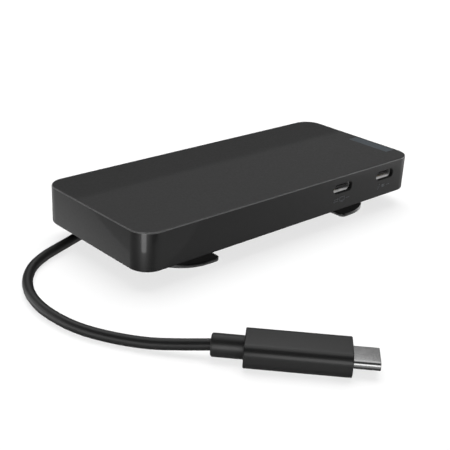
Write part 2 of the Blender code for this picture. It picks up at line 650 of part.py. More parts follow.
def make_cord_boot(look):
    """The tapered boot in the channel, with its anchor in the bottom cover."""
    boot = slab("cord_boot", anchor_outline(), CORD_CHANNEL_Z - 1.4 * MM, FLOOR_TOP + 1.4 * MM)
    length = BOOT_X[1] - BOOT_X[0] + 2 * MM
    bm = bmesh.new()
    bmesh.ops.create_cone(bm, cap_ends=True, segments=TURN_STEPS, radius1=2.6 * MM, radius2=2.3 * MM,
                          depth=length)
    bmesh.ops.scale(bm, vec=(0.68, 1.0, 1.0), verts=bm.verts)
    sleeve = add_object("boot_sleeve", mesh_from(bm, "boot_sleeve"), cutter=True)
    sleeve.rotation_euler = (0.0, math.radians(-90), 0.0)
    sleeve.location = (BOOT_X[0] + length / 2, CORD_CHANNEL_Y, CORD_CHANNEL_Z)
    combine(boot, sleeve, "UNION")
    return finish(boot, look)


def smooth_route(route, spacing):
    """Evenly spaced points on a smooth curve through the route's points."""
    dense = []
    padded = [2 * route[0] - route[1], *route, 2 * route[-1] - route[-2]]
    for before, start, end, after in zip(padded, padded[1:], padded[2:], padded[3:]):
        for step in range(20):
            t = step / 20
            dense.append(0.5 * (2 * start + (end - before) * t
                                + (2 * before - 5 * start + 4 * end - after) * t ** 2
                                + (3 * start - before - 3 * end + after) * t ** 3))
    dense.append(route[-1])
    lengths = [0.0]
    for first, second in zip(dense, dense[1:]):
        lengths.append(lengths[-1] + (second - first).length)
    count = round(lengths[-1] / spacing)
    points = []
    index = 0
    for step in range(count + 1):
        wanted = lengths[-1] * step / count
        while index < len(dense) - 2 and lengths[index + 1] < wanted:
            index += 1
        share = (wanted - lengths[index]) / (lengths[index + 1] - lengths[index])
        points.append(dense[index].lerp(dense[index + 1], share))
    return points


def make_cord(look):
    """The captive cord, from the boot round to the plug's strain relief, with flat ends."""
    points = smooth_route(CORD_ROUTE, CORD_POINT_SPACING)
    curve = bpy.data.curves.new("cord", "CURVE")
    curve.dimensions = "3D"
    curve.bevel_depth = CORD_RADIUS
    curve.bevel_resolution = 2
    curve.use_fill_caps = True
    spline = curve.splines.new("POLY")
    spline.points.add(len(points) - 1)
    for point, place in zip(spline.points, points):
        point.co = (*place, 1.0)
    return finish(add_object("cord", curve), look)


def make_lead_ribbon(look):
    """The cord's flat lead inside the housing, from the boot's anchor up to the board header."""
    start = CORD_CHANNEL_Y - 2.5 * MM - GAP
    low = FLOOR_TOP + 0.3 * MM
    rise = 1.2 * MM
    thickness = 0.8 * MM
    outline = [(start, low, 0.0), (start, low + thickness, 0.0),
               (start - 2.7 * MM, low + thickness, MM), (start - 5 * MM, low + rise + thickness, MM),
               (start - LEAD_LENGTH, low + rise + thickness, 0.0), (start - LEAD_LENGTH, low + rise, 0.0),
               (start - 5.3 * MM, low + rise, MM), (start - 3 * MM, low, MM)]
    frame = mount_point("lead_ribbon_frame", *facing((1, 0, 0), (BOOT_X[1], 0.0, 0.0)))
    return finish(slab("lead_ribbon", outline, 0.0, 5.2 * MM, frame), look)


def make_cord_header(look):
    """The connector under the board that the lead ends in."""
    rear_y = CORD_CHANNEL_Y - 2.5 * MM - 2 * GAP - LEAD_LENGTH
    outline = rectangle(8 * MM, 4 * MM, 0.3 * MM, (BOOT_X[1] + 2.6 * MM, rear_y - 2 * MM))
    return finish(slab("cord_header", outline, FLOOR_TOP + 0.8 * MM, BOARD_BOTTOM - GAP), look)


def make_plug(looks):
    """The USB-C plug on the cord's far end, lying on the surface.

    It is modelled along local +Z from the strain relief's rear, with local +Y up.
    """
    out = Vector((math.cos(PLUG_HEADING), math.sin(PLUG_HEADING), 0.0))
    frame = mount_point("plug", *facing(out, (*PLUG_REAR, PLUG_AXIS_Z)))
    relief = drum("plug_strain_relief", RELIEF_RADIUS, 0.0, RELIEF_LENGTH, parent=frame)
    bevel(relief, 0.5 * MM, 2)
    finish(relief, looks["cord_rubber"])
    start = RELIEF_LENGTH + GAP
    handle = slab("plug_housing", rectangle(HANDLE_WIDTH, HANDLE_HEIGHT, HANDLE_CORNER), start,
                  start + HANDLE_LENGTH, frame)
    bevel(handle, 0.4 * MM, 2)
    finish(handle, looks["plug_plastic"])
    start += HANDLE_LENGTH + GAP
    width, height, length = PLUG_SHELL
    shell = slab("plug_shell", rectangle(width, height, height * 0.499), start, start + length, frame)
    bore = rectangle(width - 2 * SHEET, height - 2 * SHEET, (height - 2 * SHEET) * 0.499)
    combine(shell, slab("plug_shell_bore", bore, start + MM, start + length + MM, frame, True))
    finish(shell, looks["steel"])
    insert = slab("plug_insert", rectangle(width - 2 * SHEET - 2 * GAP, height - 2 * SHEET - 2 * GAP, 0.3 * MM),
                  start + MM + GAP, start + length - 0.6 * MM, frame, steps=2)
    slot = slab("plug_slot", rectangle(6.2 * MM, 0.5 * MM), start + 2.5 * MM, start + length + MM, frame, True)
    combine(insert, slot)
    finish(insert, looks["black_plastic"])


def make_looks():
    """Every material, by the name of what it is."""
    return {
        "housing": material("housing", (0.045, 0.045, 0.046), 0.45),
        "base": material("base", (0.03, 0.03, 0.031), 0.5),
        "rubber": material("rubber", (0.02, 0.02, 0.02), 0.85),
        "cord_rubber": material("cord_rubber", (0.025, 0.025, 0.026), 0.5),
        "plug_plastic": material("plug_plastic", (0.05, 0.05, 0.05), 0.4),
        "steel": material("steel", (0.6, 0.6, 0.6), 0.25, 1.0),
        "aluminium": material("aluminium", (0.75, 0.76, 0.78), 0.4, 1.0),
        "black_plastic": material("black_plastic", (0.015, 0.015, 0.015), 0.5),
        "board": material("board", (0.01, 0.12, 0.05), 0.5),
        "chip": material("chip", (0.02, 0.02, 0.022), 0.55),
        "ferrite": material("ferrite", (0.12, 0.12, 0.12), 0.7),
        "capacitor": material("capacitor", (0.45, 0.3, 0.08), 0.5),
        "thermal": material("thermal", (0.35, 0.45, 0.6), 0.8),
        "wire": material("wire", (0.4, 0.03, 0.03), 0.5),
        "name_plate": material("name_plate", (0.09, 0.11, 0.13), 0.4),
    }


def build():
    """Model the whole dock."""
    start_scene()
    looks = make_looks()
    make_top_cover(looks["housing"])
    make_badge(looks["name_plate"])
    make_bottom_cover(looks["base"])
    make_cord_spool(looks["base"])
    make_base_plate(looks["base"])
    make_foot_pads(looks["rubber"])
    make_screws(looks["steel"])
    make_main_board(looks["board"])
    make_usb_c_ports(looks["steel"], looks["black_plastic"])
    make_hdmi_ports(looks["steel"], looks["black_plastic"])
    make_usb_a_ports(looks["steel"], looks["black_plastic"])
    make_lan_port(looks["steel"], looks["black_plastic"])
    make_components(looks)
    make_cord_boot(looks["cord_rubber"])
    make_cord(looks["cord_rubber"])
    make_lead_ribbon(looks["wire"])
    make_cord_header(looks["black_plastic"])
    make_plug(looks)


build()
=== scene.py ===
"""The laptop docking station's visible surfaces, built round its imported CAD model."""
import json
import math

import bmesh
import bpy
from mathutils import Matrix, Vector


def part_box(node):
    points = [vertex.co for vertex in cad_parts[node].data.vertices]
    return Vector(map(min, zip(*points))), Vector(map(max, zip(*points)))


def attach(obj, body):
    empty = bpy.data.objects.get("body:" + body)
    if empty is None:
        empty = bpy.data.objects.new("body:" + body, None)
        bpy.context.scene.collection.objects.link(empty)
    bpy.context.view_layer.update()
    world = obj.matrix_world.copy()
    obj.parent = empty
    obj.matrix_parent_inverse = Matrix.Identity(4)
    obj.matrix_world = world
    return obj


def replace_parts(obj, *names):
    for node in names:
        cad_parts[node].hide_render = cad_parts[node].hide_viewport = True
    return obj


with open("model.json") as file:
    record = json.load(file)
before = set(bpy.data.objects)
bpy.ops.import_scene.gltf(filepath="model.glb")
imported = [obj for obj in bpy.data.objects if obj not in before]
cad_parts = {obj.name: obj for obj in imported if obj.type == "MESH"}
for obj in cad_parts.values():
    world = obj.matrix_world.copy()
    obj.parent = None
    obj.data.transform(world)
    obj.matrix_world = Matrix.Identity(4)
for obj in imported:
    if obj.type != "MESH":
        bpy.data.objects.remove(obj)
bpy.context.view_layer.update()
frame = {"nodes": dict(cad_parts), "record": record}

MM = 0.001
BODY = "root"
SMOOTH_ANGLE = math.radians(32)
NOISE_LOW, NOISE_HIGH = 0.3, 0.7        # the range that most of a noise texture lies in

# What the frame says
HOUSING_LOW, HOUSING_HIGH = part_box("top_cover")
PLATE_LOW, PLATE_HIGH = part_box("base_plate")
HOUSING_LENGTH = HOUSING_HIGH[0] - HOUSING_LOW[0]
HOUSING_WIDTH = HOUSING_HIGH[1] - HOUSING_LOW[1]
HOUSING_BOTTOM = HOUSING_LOW[2]
HOUSING_TOP = HOUSING_HIGH[2]

# Housing details
SKIN = 0.03 * MM                # the housing stands this far inside its CAD solid, for the printed marks
CORNER = 6.2 * MM
TOP_FILLET = 0.4 * MM
FOOT_FILLET = 0.6 * MM
WALL = 1.5 * MM
ROOF = 1.4 * MM
WINDOW_CHAMFER = 0.12 * MM
WINDOW_CORNER = 0.5 * MM
WINDOW_CUT = 4 * MM
ROUND_END = 0.499               # a corner's share of a height that has round ends
USB_C_X = (22.8 * MM, 44.4 * MM)
USB_C_Z = HOUSING_BOTTOM + 7.75 * MM
USB_C_WINDOW = (9.0 * MM, 3.0 * MM)
USB_C_POCKET = (9.54 * MM, 3.76 * MM)
USB_C_CUT = 3 * MM
USB_C_LIP = 1.0 * MM
REAR_PORT_Z = HOUSING_BOTTOM + 6.2 * MM
HDMI_X = (-36 * MM, -15 * MM)
HDMI_WINDOW = (15.6 * MM, 6.1 * MM)
HDMI_SLANT = 1.4 * MM
HDMI_CORNER = 0.4 * MM
USB_A_X = (8 * MM, 30 * MM)
USB_A_WINDOW = (13.74 * MM, 6.32 * MM)
LAN_Z = HOUSING_BOTTOM + 6.1 * MM
LAN_WINDOW = (14.2 * MM, 9.2 * MM)
NAME_PLATE_CORNER = 0.35 * MM
MARK_Z = HOUSING_BOTTOM + 3.9 * MM
LINE = 0.16                     # a printed line's width, in the marks' own unit, the millimetre

# Port contacts
CONTACT_SETBACK = 0.8 * MM      # from a tongue's tip to its contacts
CONTACT_PROUD = 0.04 * MM
USB_C_CONTACTS = 12
USB_C_PITCH = 0.5 * MM
TONGUE_CONTACTS = (             # port, mouth's direction, count, pitch, width, tongue's faces and length
    ("usb_c", (0, -1, 0), USB_C_CONTACTS, USB_C_PITCH, 0.28 * MM, (1, -1), 3.5 * MM),
    ("hdmi", (0, 1, 0), 10, 1.0 * MM, 0.45 * MM, (1, -1), 5.0 * MM),
    ("usb_a", (0, 1, 0), 4, 2.2 * MM, 1.0 * MM, (-1,), 7.0 * MM),
)
LAN_WIRES = 8
LAN_WIRE_PITCH = 1.02 * MM
LAN_WIRE_WIDTH = 0.44 * MM
LAN_WIRE_MARGIN = 0.4 * MM

# Base plate details
PLATE_CORNER = 14.5 * MM
NOTCH_HALF_LENGTH = 27.6 * MM
NOTCH_TIP = 1.6 * MM
NOTCH_ROOT = 2.5 * MM
NOTCH_ROOT_Y = 14.5 * MM
PLATE_FILLET = 0.25 * MM
PAD_CORNER = 4.9 * MM
PAD_POCKET_CORNER = 5 * MM
PAD_POCKET_GROWTH = 0.4 * MM
BORE_DIAMETER = 4.2 * MM
BORE_CORNER = 2.09 * MM
BORE_DEPTH = 0.8 * MM

# Plug
PLUG_HEADING = math.radians(-47.25)
PLUG_REAR = Vector((-64.4, -60.0, 3.25)) * MM
RELIEF_LENGTH = 7.6 * MM
RELIEF_RADIUS = 2.95 * MM
HANDLE_LENGTH = 26.1 * MM
HANDLE_SIZE = (12.2 * MM, 6.5 * MM)
HANDLE_CORNER = 2.6 * MM
PLUG_SHELL = (8.25 * MM, 2.4 * MM, 6.35 * MM)
PLUG_GAP = 0.3 * MM
SHEET = 0.3 * MM
BLOCK_PLAY = 0.2 * MM
BLOCK_CORNER = 0.7 * MM
BLOCK_SLOT = (6.7 * MM, 0.8 * MM)
PLUG_CONTACT_LOW = 0.37 * MM
PLUG_CONTACT_HIGH = 0.45 * MM
PLUG_CONTACT_WIDTH = 0.22 * MM

# Cord
CORD_DIAMETER = 3 * MM
CORD_POINT_SPACING = 3 * MM
CORD_ROUTE = [Vector(point) * MM for point in (
    (-6.3, 18.0, 3.65), (-16.0, 18.0, 3.55), (-27.0, 18.0, 3.4), (-37.0, 17.6, 3.35),
    (-45.0, 16.2, 3.2), (-52.5, 14.1, 2.75), (-59.0, 12.2, 2.3), (-64.0, 10.9, 1.9),
    (-69.4, 9.0, 1.65), (-75.5, 5.1, 1.55), (-80.8, -1.2, 1.55), (-84.3, -8.8, 1.55),
    (-85.8, -17.0, 1.55), (-85.4, -25.2, 1.55), (-84.0, -31.6, 1.55), (-81.6, -37.4, 1.58),
    (-78.3, -43.3, 1.68), (-74.5, -49.0, 2.0), (-69.8, -54.4, 2.6), (-64.6, -59.78, 3.25))]

# Camera, at the viewing angle of the reference
CAMERA_PLACE = Vector((-190.85, -197.23, 116.5)) * MM
CAMERA_YAW = math.radians(-43.17)
CAMERA_PITCH = math.radians(23.56)
CAMERA_ROLL = math.radians(2.91)
CAMERA_LENS = 71.06

# The surround's brightness from straight down (0) past the horizon (0.5) to straight up (1)
SURROUND = ((0.0, 0.10), (0.14, 0.12), (0.26, 0.56), (0.45, 0.56), (0.55, 0.08))

# Straight ahead of the camera it is dimmer: between these two cosines of the angle, by these two factors
DIMMING_AHEAD = (0.65, 0.9, 1.0, 0.15)

# Panels that show only as reflections: name, place, target, size, radiance and the pieces they light
REFLECTED = (
    ("corner_strip", (-0.50, -0.34, 0.0), (-0.05, -0.02, 0.0), (0.24, 0.5), 10.5,
     ("housing_shell", "winder_flange")),
    ("front_strip", (0.57, -0.22, 0.0), (0.05, -0.02, 0.0), (0.25, 0.2), 7.0, ("housing_shell",)),
    ("front_panel", (0.15, -0.54, -0.22), (-0.05, -0.02, 0.012), (0.35, 0.5), 0.5, ("housing_shell",)),
    ("left_panel", (-0.23, 0.60, -0.22), (-0.06, 0.0, 0.012), (0.5, 0.8), 0.78, ("housing_shell",)),
    ("wing_panel", (0.50, 0.55, 0.36), (0.0, 0.0, 0.003), (0.5, 0.5), 1.4, ("winder_flange",)),
    ("wing_strip", (0.62, -0.12, 0.04), (0.045, -0.02, 0.0), (0.4, 0.4), 9.0, ("winder_flange",)),
    ("plug_strip", (-0.37, -0.47, 0.16), (-0.05, -0.07, 0.0), (0.5, 0.30), 2.7,
     ("plug_handle", "strain_relief", "plug_metal_shell")),
    ("cord_panel", (-0.60, -0.25, 0.06), (-0.08, -0.25, 0.02), (1.1, 0.3), 1.8,
     ("cord_jacket", "strain_relief")),
    ("cord_side", (-0.40, 0.43, 0.06), (-0.086, -0.02, 0.0), (0.5, 0.5), 1.2, ("cord_jacket",)),
)


# --- Camera -----------------------------------------------------------------------------

def make_camera():
    """A camera that looks down on the dock's near left corner."""
    sensor = bpy.data.cameras.new("camera")
    sensor.sensor_width = 36
    sensor.lens = CAMERA_LENS
    sensor.clip_start = 0.01
    right = Vector((math.cos(CAMERA_YAW), math.sin(CAMERA_YAW), 0))
    back = Vector((math.sin(CAMERA_YAW) * math.cos(CAMERA_PITCH),
                   -math.cos(CAMERA_YAW) * math.cos(CAMERA_PITCH), math.sin(CAMERA_PITCH)))
    up = back.cross(right)
    across = right * math.cos(CAMERA_ROLL) + up * math.sin(CAMERA_ROLL)
    above = up * math.cos(CAMERA_ROLL) - right * math.sin(CAMERA_ROLL)
    camera = bpy.data.objects.new("camera", sensor)
    turn = Matrix((across, above, back)).transposed().to_4x4()
    camera.matrix_world = Matrix.Translation(CAMERA_PLACE) @ turn
    bpy.context.scene.collection.objects.link(camera)
    bpy.context.scene.camera = camera


# --- Materials --------------------------------------------------------------------------

class Look:
    """A procedural material under construction: a Principled shader with object-space textures."""

    def __init__(self, name, roughness, metallic=0.0, specular=0.5, coat=0.0, coat_roughness=0.1):
        self.material = bpy.data.materials.new(name)
        self.material.use_nodes = True
        self.tree = self.material.node_tree
        self.shader = self.tree.nodes["Principled BSDF"]
        self.shader.inputs["Roughness"].default_value = roughness
        self.shader.inputs["Metallic"].default_value = metallic
        self.shader.inputs["Specular IOR Level"].default_value = specular
        self.shader.inputs["Coat Weight"].default_value = coat
        self.shader.inputs["Coat Roughness"].default_value = coat_roughness
        self.place = self.tree.nodes.new("ShaderNodeTexCoord").outputs["Object"]

    def node(self, kind, **values):
        """A node with its sockets set by name: a number, colour or another node's output."""
        made = self.tree.nodes.new(kind)
        for name, value in values.items():
            socket = made.inputs[name.replace("_", " ")]
            if isinstance(value, bpy.types.NodeSocket):
                self.tree.links.new(value, socket)
            else:
                socket.default_value = value
        return made

    def noise(self, size, detail=2.0, stretch=None):
        """Noise whose features are about size metres across."""
        place = self.place
        if stretch:
            place = self.node("ShaderNodeMapping", Vector=place, Scale=stretch).outputs["Vector"]
        return self.node("ShaderNodeTexNoise", Vector=place, Scale=1 / size, Detail=detail).outputs["Fac"]

    def spread(self, factor, low, high):
        """Stretches a noise's middle range to run from low to high."""
        made = self.node("ShaderNodeMapRange", Value=factor, From_Min=NOISE_LOW, From_Max=NOISE_HIGH,
                         To_Min=low, To_Max=high)
        return made.outputs["Result"]

    def colour(self, factor, dark, light):
        """Colours the surface between two colours by a noise."""
        ramp = self.tree.nodes.new("ShaderNodeValToRGB")
        for stop, position, shade in zip(ramp.color_ramp.elements, (NOISE_LOW, NOISE_HIGH), (dark, light)):
            stop.position = position
            stop.color = (*shade, 1)
        self.tree.links.new(factor, ramp.inputs["Fac"])
        self.tree.links.new(ramp.outputs["Color"], self.shader.inputs["Base Color"])
        return self

    def roughness(self, factor, low, high):
        """Varies the roughness by a noise."""
        self.tree.links.new(self.spread(factor, low, high), self.shader.inputs["Roughness"])
        return self

    def product(self, first, second):
        """Two outputs multiplied."""
        made = self.tree.nodes.new("ShaderNodeMath")
        made.operation = "MULTIPLY"
        for factor, socket in zip((first, second), made.inputs):
            self.tree.links.new(factor, socket)
        return made.outputs["Value"]

    def rim(self, low, high, fade, highlight_grey):
        """Paints a highlight: lightens the colour towards a lighter grey between two heights, unevenly."""
        base = self.shader.inputs["Base Color"]
        height = self.node("ShaderNodeSeparateXYZ", Vector=self.place).outputs["Z"]
        up = self.node("ShaderNodeMapRange", Value=height, From_Min=low - fade, From_Max=low + fade)
        down = self.node("ShaderNodeMapRange", Value=height, From_Min=high - fade, From_Max=high + fade,
                         To_Min=1.0, To_Max=0.0)
        band = self.product(up.outputs["Result"], down.outputs["Result"])
        uneven = self.product(band, self.spread(self.noise(2.5 * MM, 3), 0.8, 1.0))
        mixed = self.node("ShaderNodeMixRGB", Fac=uneven, Color1=base.links[0].from_socket,
                          Color2=(*highlight_grey, 1))
        self.tree.links.new(mixed.outputs["Color"], base)
        return self

    def bump(self, height, distance, strength=1.0):
        """Raises the surface by up to distance metres."""
        made = self.node("ShaderNodeBump", Height=height, Distance=distance, Strength=strength)
        self.tree.links.new(made.outputs["Normal"], self.shader.inputs["Normal"])
        return self


def grey(level):
    """A neutral colour."""
    return (level, level, level)


def moulded(name, level, roughness, grain=0.18 * MM, depth=0.006 * MM, specular=0.5, coat=0.0,
            coat_roughness=0.08):
    """Moulded plastic with a fine spark-eroded grain."""
    look = Look(name, roughness, specular=specular, coat=coat, coat_roughness=coat_roughness)
    look.colour(look.noise(9 * MM, 3), grey(level * 0.94), grey(level * 1.06))
    look.roughness(look.noise(0.6 * MM, 4), roughness * 0.92, roughness * 1.08)
    return look.bump(look.noise(grain, 3), depth)


def plated(name, level, roughness, grain_axis=(1, 1, 12), metallic=1.0):
    """Drawn, plated sheet metal with faint streaks along its drawing direction."""
    look = Look(name, roughness, metallic=metallic)
    streaks = look.noise(0.35 * MM, 3, grain_axis)
    look.colour(streaks, grey(level * 0.93), grey(level * 1.05))
    look.roughness(look.noise(1.5 * MM, 3), roughness * 0.8, roughness * 1.25)
    return look.bump(streaks, 0.002 * MM)


def make_looks():
    """Every material, by the record's slot name where it has one."""
    housing = moulded("housing_plastic", 0.008, 0.45, specular=0.22, coat=0.16, coat_roughness=0.035)
    # Painted highlight: a lighter grey band along the roof's top fillet
    housing.rim(HOUSING_TOP - TOP_FILLET, HOUSING_TOP - SKIN - 0.05 * MM, 0.03 * MM, grey(0.23))
    base = moulded("base_plastic", 0.005, 0.40, specular=0.2)
    # Painted highlight: a lighter grey band on the flange's lower rim, where its side face is lit
    base.rim(PLATE_LOW[2], PLATE_LOW[2] + 0.7 * MM, 0.05 * MM, grey(0.10))
    looks = {
        "housing": housing,
        "base": base,
        "rubber": moulded("pad_rubber", 0.006, 0.8, grain=0.4 * MM, depth=0.02 * MM, specular=0.2),
        "cord_rubber": moulded("cord_jacket", 0.026, 0.36, grain=0.3 * MM, depth=0.004 * MM, specular=0.35),
        "plug_plastic": moulded("plug_plastic", 0.0265, 0.32, grain=0.15 * MM, depth=0.004 * MM,
                                specular=0.4),
        "steel": plated("nickel_plate", 0.38, 0.30),
        "polished_steel": plated("polished_nickel", 0.36, 0.20),
        "tin": plated("tin_plate", 0.62, 0.45, metallic=0.6),
        "aluminium": plated("aluminium_sheet", 0.78, 0.38, (12, 1, 1)),
        "black_plastic": moulded("connector_plastic", 0.012, 0.5),
        "board": board_look(),
        "chip": moulded("chip_package", 0.018, 0.55, grain=0.12 * MM),
        "ferrite": moulded("ferrite_block", 0.10, 0.7, grain=0.25 * MM, depth=0.02 * MM),
        "capacitor": tinted("capacitor_case", (0.42, 0.26, 0.05), 0.45),
        "thermal": tinted("thermal_pad_foam", (0.28, 0.38, 0.55), 0.85),
        "wire": tinted("ribbon_jacket", (0.30, 0.02, 0.02), 0.45),
        "name_plate": tinted("plate_lacquer", (0.075, 0.100, 0.122), 0.4),
        "print": tinted("printed_mark", (0.095, 0.105, 0.115), 0.5),
        "gold": gold_look(),
    }
    return {name: look.material for name, look in looks.items()}


def tinted(name, colour, roughness):
    """A coloured plastic with a slight mottle."""
    look = Look(name, roughness)
    dark = tuple(0.92 * part for part in colour)
    light = tuple(1.08 * part for part in colour)
    look.colour(look.noise(1.2 * MM, 3), dark, light)
    look.roughness(look.noise(0.5 * MM, 3), roughness * 0.9, roughness * 1.1)
    return look.bump(look.noise(0.2 * MM, 3), 0.004 * MM)


def gold_look():
    """Gold-plated contacts."""
    look = Look("contact_gold", 0.25, metallic=1.0)
    look.colour(look.noise(0.5 * MM), (0.72, 0.50, 0.18), (0.86, 0.62, 0.26))
    return look.roughness(look.noise(0.4 * MM), 0.18, 0.34)


def board_look():
    """Green solder resist over copper pours and tracks."""
    look = Look("solder_resist", 0.35)
    tracks = look.node("ShaderNodeTexBrick", Vector=look.place, Scale=260.0, Mortar_Size=0.03,
                       Color1=(0.010, 0.085, 0.035, 1), Color2=(0.008, 0.07, 0.03, 1),
                       Mortar=(0.02, 0.14, 0.05, 1))
    look.tree.links.new(tracks.outputs["Color"], look.shader.inputs["Base Color"])
    look.roughness(look.noise(3 * MM), 0.3, 0.42)
    return look.bump(tracks.outputs["Fac"], 0.03 * MM, 0.6)


# --- Shapes -----------------------------------------------------------------------------

def piece(name, bm, look):
    """Makes a piece of the dock from a bmesh, with its material, riding on the dock's body."""
    bmesh.ops.remove_doubles(bm, verts=bm.verts, dist=1e-7)
    bmesh.ops.recalc_face_normals(bm, faces=bm.faces)
    mesh = bpy.data.meshes.new(name)
    bm.to_mesh(mesh)
    bm.free()
    mesh.shade_smooth()
    mesh.set_sharp_from_angle(angle=SMOOTH_ANGLE)
    mesh.materials.append(LOOKS[look])
    obj = bpy.data.objects.new(name, mesh)
    bpy.context.scene.collection.objects.link(obj)
    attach(obj, BODY)
    return obj


def rounded_outline(corners, steps):
    """Points round a polygon given as (x, y, radius) corners, with each corner filleted."""
    points = []
    for index, (x, y, radius) in enumerate(corners):
        corner = Vector((x, y))
        back = (Vector(corners[index - 1][:2]) - corner).normalized()
        ahead = (Vector(corners[(index + 1) % len(corners)][:2]) - corner).normalized()
        half = back.angle(ahead) / 2
        centre = corner + (back + ahead).normalized() * radius / math.sin(half)
        first = corner + back * radius / math.tan(half) - centre
        last = corner + ahead * radius / math.tan(half) - centre
        start = math.atan2(first.y, first.x)
        sweep = math.remainder(math.atan2(last.y, last.x) - start, math.tau)
        for step in range(steps + 1):
            turn = start + sweep * step / steps
            points.append(centre + radius * Vector((math.cos(turn), math.sin(turn))))
    return points


def rectangle(width, height, radius, centre=(0.0, 0.0)):
    """A rounded rectangle's corners, anticlockwise."""
    return [(centre[0] + sx * width / 2, centre[1] + sy * height / 2, radius)
            for sx, sy in ((-1, -1), (1, -1), (1, 1), (-1, 1))]


def box_rectangle(low, high, radius, growth=0.0):
    """A rounded rectangle's corners round a box seen from above, larger by growth across."""
    return rectangle(high[0] - low[0] + growth, high[1] - low[1] + growth, radius,
                     ((low[0] + high[0]) / 2, (low[1] + high[1]) / 2))


def inset(points, distance):
    """The outline moved inwards by distance, at right angles to itself."""
    moved = []
    for index, point in enumerate(points):
        back = (point - points[index - 1]).normalized()
        ahead = (points[(index + 1) % len(points)] - point).normalized()
        normal = Vector((-back.y - ahead.y, back.x + ahead.x)).normalized()
        reach = distance / max(0.3, normal.dot(Vector((-back.y, back.x))))
        moved.append(point + normal * reach)
    return moved


def fillet_profile(low, high, low_radius, high_radius, steps=4):
    """(inset, height) pairs up a wall whose two rims are rounded, with a support ring inside each."""
    rings = []
    for level, radius, side in ((low, low_radius, 1), (high, high_radius, -1)):
        arc = [(radius * (1 - math.sin(math.radians(90) * step / steps)),
                level + side * radius * (1 - math.cos(math.radians(90) * step / steps)))
               for step in range(steps + 1)]
        arc.insert(0, (radius + 0.4 * MM, level))
        rings.append(arc)
    return rings[0] + rings[1][::-1]


def lofted(outline, profile):
    """A closed solid whose section follows the outline, inset at each height as the profile says."""
    bm = bmesh.new()
    rings = []
    for distance, height in profile:
        ring = [bm.verts.new((point.x, point.y, height)) for point in inset(outline, distance)]
        rings.append(ring)
    count = len(outline)
    for lower, upper in zip(rings, rings[1:]):
        for index in range(count):
            after = (index + 1) % count
            bm.faces.new((lower[index], lower[after], upper[after], upper[index]))
    bm.faces.new(rings[0][::-1])
    bm.faces.new(rings[-1])
    return bm


def temporary(bm):
    """An unshown object for a Boolean."""
    bmesh.ops.recalc_face_normals(bm, faces=bm.faces)
    mesh = bpy.data.meshes.new("cutter")
    bm.to_mesh(mesh)
    bm.free()
    obj = bpy.data.objects.new("cutter", mesh)
    bpy.context.scene.collection.objects.link(obj)
    return obj


def carve(bm, cutters):
    """Cuts closed shapes out of a bmesh, and gives the result as a new bmesh."""
    base = temporary(bm)
    tools = [temporary(cutter) for cutter in cutters]
    for tool in tools:
        modifier = base.modifiers.new("cut", "BOOLEAN")
        modifier.operation = "DIFFERENCE"
        modifier.solver = "EXACT"
        modifier.object = tool
    bpy.context.view_layer.update()
    result = bmesh.new()
    result.from_mesh(base.evaluated_get(bpy.context.evaluated_depsgraph_get()).to_mesh())
    for used in (base, *tools):
        mesh = used.data
        bpy.data.objects.remove(used)
        bpy.data.meshes.remove(mesh)
    return result


def placed(bm, matrix):
    """The bmesh, moved by a matrix."""
    bmesh.ops.transform(bm, matrix=matrix, verts=bm.verts)
    return bm


def facing(out, place):
    """The placing of a port whose mouth is at local z = 0 and faces local +Z, with local +Y up."""
    out = Vector(out)
    up = Vector((0, 0, 1))
    return Matrix.Translation(place) @ Matrix((up.cross(out), up, out)).transposed().to_4x4()


def window_cutter(outline, matrix, depth):
    """A cutter for a port's window, which widens at the mouth by a small chamfer."""
    profile = [(0.0, -depth), (0.0, -WINDOW_CHAMFER), (-WINDOW_CHAMFER, 0.0), (-WINDOW_CHAMFER, MM)]
    return placed(lofted(outline, profile), matrix)


def box_at(bm, low, high):
    """Adds an upright box between two corners."""
    made = bmesh.ops.create_cube(bm, size=1)["verts"]
    middle = (Vector(low) + Vector(high)) / 2
    size = Vector(high) - Vector(low)
    bmesh.ops.scale(bm, vec=size, verts=made)
    bmesh.ops.translate(bm, vec=middle, verts=made)


def add_row(bm, count, pitch, width, heights, depths):
    """Adds boxes side by side along local X, between two heights (local Y) and two depths (local Z)."""
    for number in range(count):
        x = (number - (count - 1) / 2) * pitch
        box_at(bm, (x - width / 2, heights[0], depths[0]), (x + width / 2, heights[1], depths[1]))


# --- Housing ----------------------------------------------------------------------------

def hdmi_outline(width, height):
    """An HDMI window: a rectangle with its lower corners cut off at a slant."""
    x, y = width / 2, height / 2
    corners = ((-x + HDMI_SLANT, -y), (x - HDMI_SLANT, -y), (x, -y + HDMI_SLANT),
               (x, y), (-x, y), (-x, -y + HDMI_SLANT))
    return rounded_outline([(*corner, HDMI_CORNER) for corner in corners], 4)


